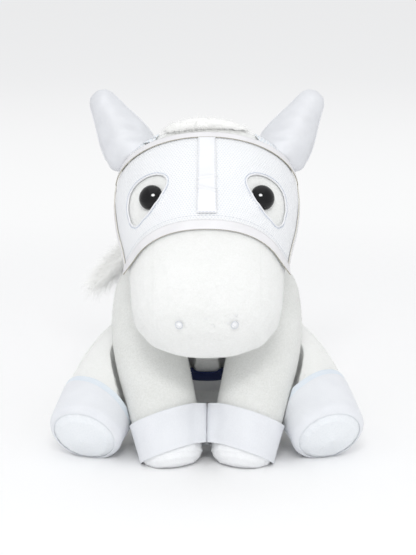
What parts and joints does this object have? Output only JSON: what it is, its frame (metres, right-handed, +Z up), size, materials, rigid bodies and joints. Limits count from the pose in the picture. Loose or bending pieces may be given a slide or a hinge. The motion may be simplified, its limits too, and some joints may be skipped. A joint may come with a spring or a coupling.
{
  "type": "plush horse",
  "caption": "Soft stuffed horse that sits with its legs forward, with a face mask, ear covers, hoof cuffs and a girth band.",
  "frame": {"origin": "middle of the flat place under the rump, on the surface that the horse sits on", "axes": "+Z up, the horse faces -Y, and its left side is at +X"},
  "size_m": [0.225, 0.2605, 0.2558],
  "materials": {
    "plush_white": "short plush pile",
    "hair_white": "long fluffy pile",
    "mesh_white": "fine perforated knit",
    "band_white": "smooth imitation leather",
    "cuff_white": "smooth brushed fabric",
    "hem_blue": "pale blue edging",
    "sole_white": "short plush pile",
    "eye_black": "glossy black",
    "plastic_white": "moulded",
    "navy": "woven binding"
  },
  "bodies": {
    "torso_body": {"torso": "plush_white", "neck": "plush_white", "girth_band": "cuff_white", "girth_binding": "navy", "mane_lower": "hair_white", "mane_lock": "hair_white"},
    "head_body": {"head": "plush_white", "mask_panel": "mesh_white", "brow_band": "band_white", "nose_band": "band_white", "centre_strap": "band_white", "side_trim_left": "band_white", "side_trim_right": "band_white", "eye_trim_left": "band_white", "eye_trim_right": "band_white", "eye_left": "eye_black", "eye_right": "eye_black", "eye_washer_left": "plastic_white", "eye_washer_right": "plastic_white", "ear_mesh_left": "mesh_white", "ear_mesh_right": "mesh_white", "nostril_left": "band_white", "nostril_right": "band_white", "forelock": "hair_white", "mane_upper": "hair_white"},
    "ear_left_body": {"ear_left": "plush_white", "ear_cover_left": "band_white"},
    "ear_right_body": {"ear_right": "plush_white", "ear_cover_right": "band_white"},
    "front_leg_left_body": {"front_leg_left": "plush_white", "front_cuff_left": "cuff_white", "front_sole_left": "sole_white"},
    "front_leg_right_body": {"front_leg_right": "plush_white", "front_cuff_right": "cuff_white", "front_sole_right": "sole_white"},
    "hind_leg_left_body": {"hind_leg_left": "plush_white", "hind_cuff_left": "cuff_white", "hind_hem_left": "hem_blue", "hind_sole_left": "sole_white"},
    "hind_leg_right_body": {"hind_leg_right": "plush_white", "hind_cuff_right": "cuff_white", "hind_hem_right": "hem_blue", "hind_sole_right": "sole_white"},
    "tail_body": {"tail": "hair_white"}
  },
  "joints": [
    {"name": "head_nod", "type": "hinge", "parent": "torso_body", "child": "head_body", "pos_m": [0, -0.045, 0.168], "axis": [-1, 0, 0], "range_deg": [-3, 18], "stiffness_Nm_per_rad": 1.5},
    {"name": "ear_left_bend", "type": "hinge", "parent": "head_body", "child": "ear_left_body", "pos_m": [0.0522, -0.0632, 0.2117], "axis": [0.8657, -0.1999, -0.4589], "range_deg": [-8, 8], "stiffness_Nm_per_rad": 0.05},
    {"name": "ear_right_bend", "type": "hinge", "parent": "head_body", "child": "ear_right_body", "pos_m": [-0.0522, -0.0632, 0.2117], "axis": [0.8657, 0.1999, 0.4589], "range_deg": [-8, 8], "stiffness_Nm_per_rad": 0.05},
    {"name": "front_leg_left_swing", "type": "hinge", "parent": "torso_body", "child": "front_leg_left_body", "pos_m": [0.034, -0.054, 0.1035], "axis": [1, 0, 0], "range_deg": [-12, 12], "stiffness_Nm_per_rad": 0.3},
    {"name": "front_leg_right_swing", "type": "hinge", "parent": "torso_body", "child": "front_leg_right_body", "pos_m": [-0.034, -0.054, 0.1035], "axis": [1, 0, 0], "range_deg": [-12, 12], "stiffness_Nm_per_rad": 0.3},
    {"name": "hind_leg_left_swing", "type": "hinge", "parent": "torso_body", "child": "hind_leg_left_body", "pos_m": [0.05, -0.002, 0.046], "axis": [1, 0, 0], "range_deg": [-8, 8], "stiffness_Nm_per_rad": 0.3},
    {"name": "hind_leg_right_swing", "type": "hinge", "parent": "torso_body", "child": "hind_leg_right_body", "pos_m": [-0.05, -0.002, 0.046], "axis": [1, 0, 0], "range_deg": [-8, 8], "stiffness_Nm_per_rad": 0.3},
    {"name": "tail_swing", "type": "hinge", "parent": "torso_body", "child": "tail_body", "pos_m": [0, 0.049, 0.064], "axis": [0, 1, 0], "range_deg": [-25, 25], "stiffness_Nm_per_rad": 0.02}
  ]
}
